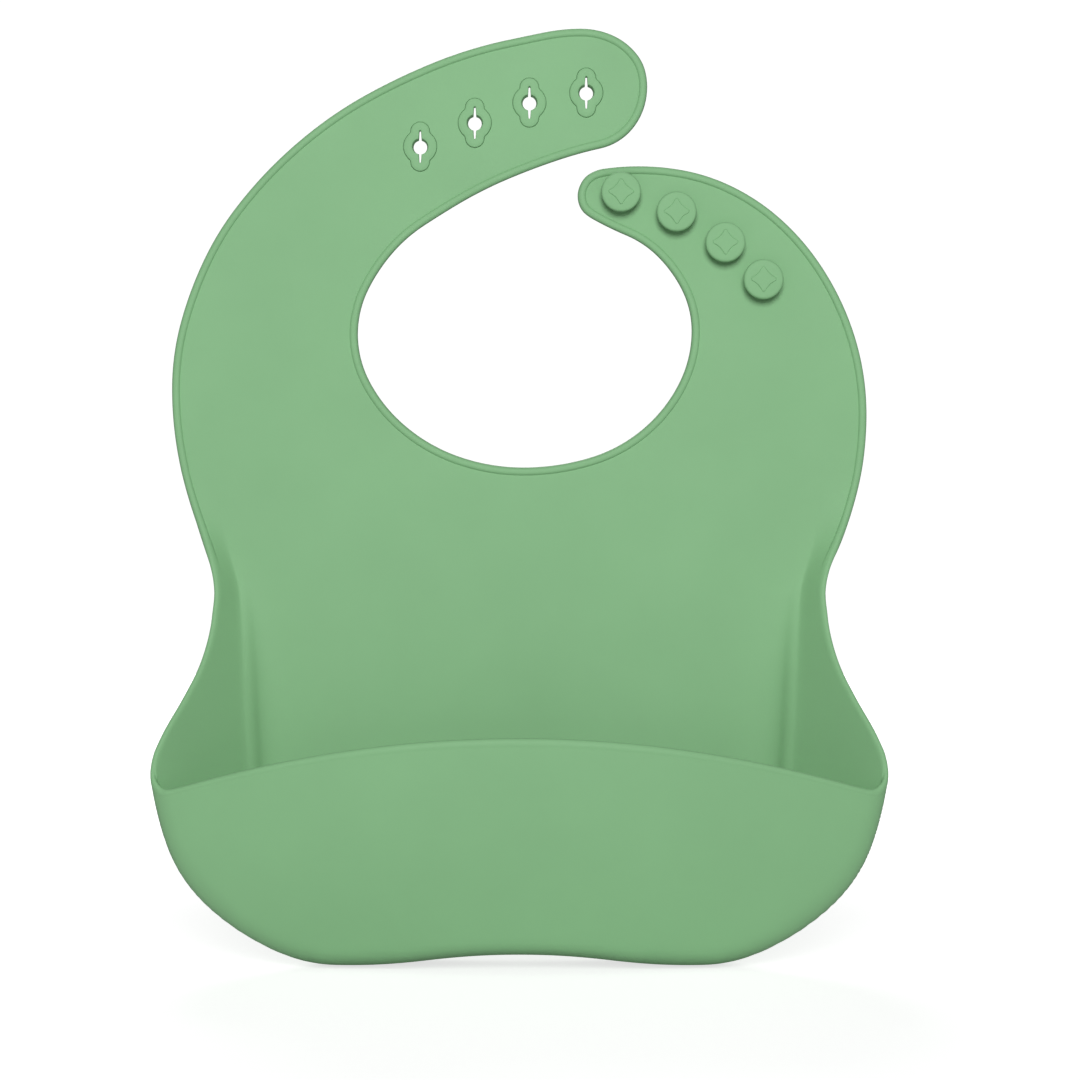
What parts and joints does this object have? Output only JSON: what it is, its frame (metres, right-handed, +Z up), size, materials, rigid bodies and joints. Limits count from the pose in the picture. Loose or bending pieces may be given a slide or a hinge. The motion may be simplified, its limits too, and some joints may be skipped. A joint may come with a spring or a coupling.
{
  "type": "silicone bib",
  "caption": "Moulded silicone baby bib with a deep food-catcher pocket, a raised edge bead and a neck strap that fastens with stud buttons in slit buttonholes.",
  "frame": {"origin": "on the standing surface, under the middle of the bib's width and of its depth", "axes": "+Z up along the bib's height, +Y towards the bib's flat back, +X to the viewer's right when the pocket faces the viewer"},
  "size_m": [0.2202, 0.049, 0.288],
  "materials": {
    "panel_silicone": "matte, very fine grain",
    "pocket_silicone": "matte, very fine grain",
    "strap_silicone": "matte, very fine grain",
    "button_silicone": "matte, very fine grain"
  },
  "bodies": {
    "root": {"chest_panel": "panel_silicone", "pocket_floor": "pocket_silicone", "pocket_side_left": "pocket_silicone", "pocket_side_right": "pocket_silicone", "button_strap_bend": "strap_silicone", "buttonhole_strap_bend": "strap_silicone"},
    "pocket_front": {"pocket_front_wall": "pocket_silicone", "pocket_rim": "pocket_silicone"},
    "button_strap": {"button_strap": "strap_silicone", "button_1": "button_silicone", "button_2": "button_silicone", "button_3": "button_silicone", "button_4": "button_silicone"},
    "buttonhole_strap": {"buttonhole_strap_base": "strap_silicone", "buttonhole_strap_curl": "strap_silicone"},
    "buttonhole_tip": {"buttonhole_strap_tip": "strap_silicone", "buttonhole_pad_1": "strap_silicone", "buttonhole_pad_2": "strap_silicone", "buttonhole_pad_3": "strap_silicone", "buttonhole_pad_4": "strap_silicone"}
  },
  "joints": [
    {"name": "button_strap_fold", "type": "hinge", "parent": "root", "child": "button_strap", "pos_m": [0.078, 0.0235, 0.186], "axis": [-1, 0, 0], "range_deg": [-45, 100], "stiffness_Nm_per_rad": 0.04, "deforming": ["button_strap_bend"]},
    {"name": "buttonhole_strap_fold", "type": "hinge", "parent": "root", "child": "buttonhole_strap", "pos_m": [-0.078, 0.0235, 0.186], "axis": [-1, 0, 0], "range_deg": [-45, 100], "stiffness_Nm_per_rad": 0.08, "deforming": ["buttonhole_strap_bend"]},
    {"name": "buttonhole_strap_curl", "type": "hinge", "parent": "buttonhole_strap", "child": "buttonhole_tip", "pos_m": [-0.06, 0.0235, 0.234], "axis": [-0.682, 0, 0.7314], "range_deg": [-25, 70], "stiffness_Nm_per_rad": 0.04, "deforming": ["buttonhole_strap_curl"]},
    {"name": "pocket_squeeze", "type": "slide", "parent": "root", "child": "pocket_front", "axis": [0, 1, 0], "range_m": [0, 0.015], "stiffness_N_per_m": 150, "deforming": ["pocket_side_left", "pocket_side_right", "pocket_floor"]}
  ]
}
